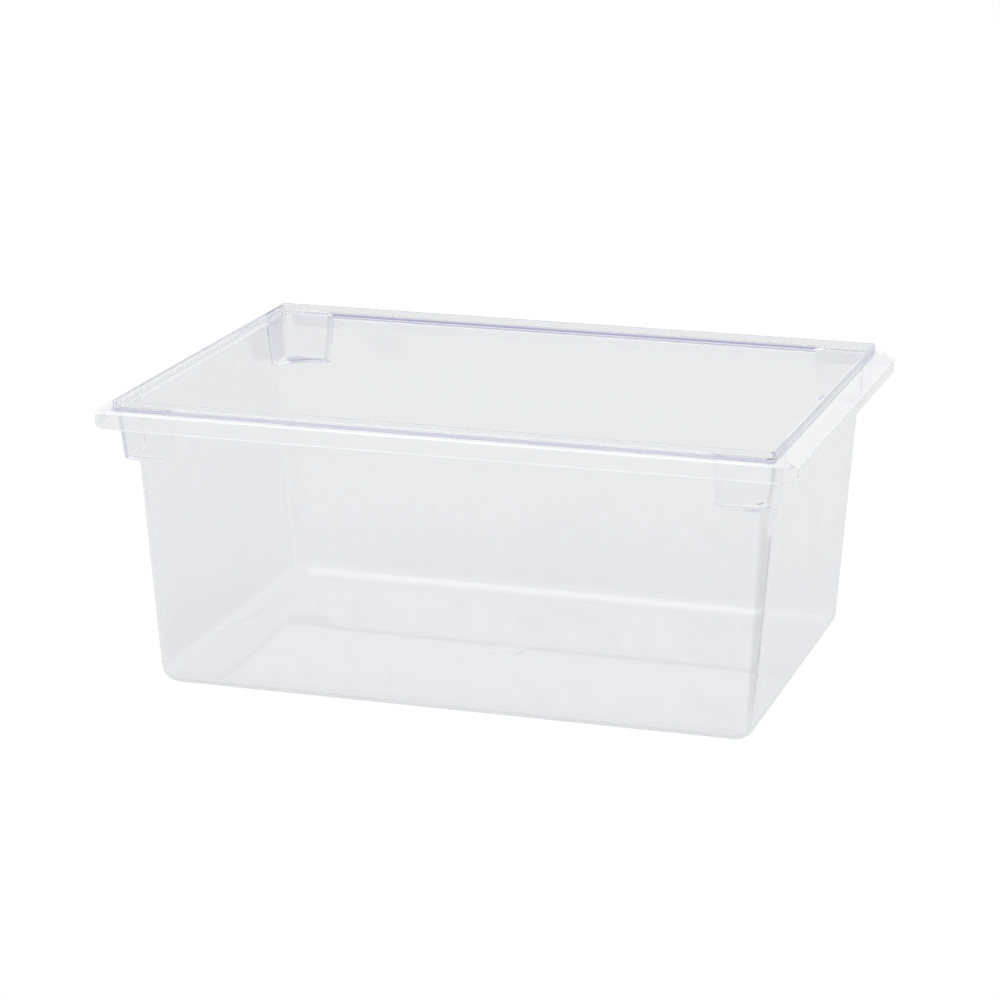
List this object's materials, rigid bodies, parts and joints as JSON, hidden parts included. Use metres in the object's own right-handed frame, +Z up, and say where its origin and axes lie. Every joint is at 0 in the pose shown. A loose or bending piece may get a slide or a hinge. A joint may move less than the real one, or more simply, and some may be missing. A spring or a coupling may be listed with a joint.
{
  "type": "deli food pan",
  "caption": "Clear plastic food storage pan, full-size and deep, open on top, with rolled end handles, a raised lip and stepped corner lugs.",
  "frame": {"origin": "middle of the flat underside", "axes": "+X along the length towards one end handle, +Y across the width, +Z up"},
  "size_m": [0.6604, 0.4572, 0.281],
  "materials": {
    "clear_plastic": "clear, smooth"
  },
  "bodies": {
    "root": {"floor": "clear_plastic", "front_wall": "clear_plastic", "back_wall": "clear_plastic", "left_wall": "clear_plastic", "right_wall": "clear_plastic", "front_left_corner": "clear_plastic", "front_right_corner": "clear_plastic", "back_left_corner": "clear_plastic", "back_right_corner": "clear_plastic", "front_left_lug": "clear_plastic", "front_right_lug": "clear_plastic", "back_left_lug": "clear_plastic", "back_right_lug": "clear_plastic", "front_rim": "clear_plastic", "back_rim": "clear_plastic", "left_handle": "clear_plastic", "right_handle": "clear_plastic"}
  },
  "joints": []
}
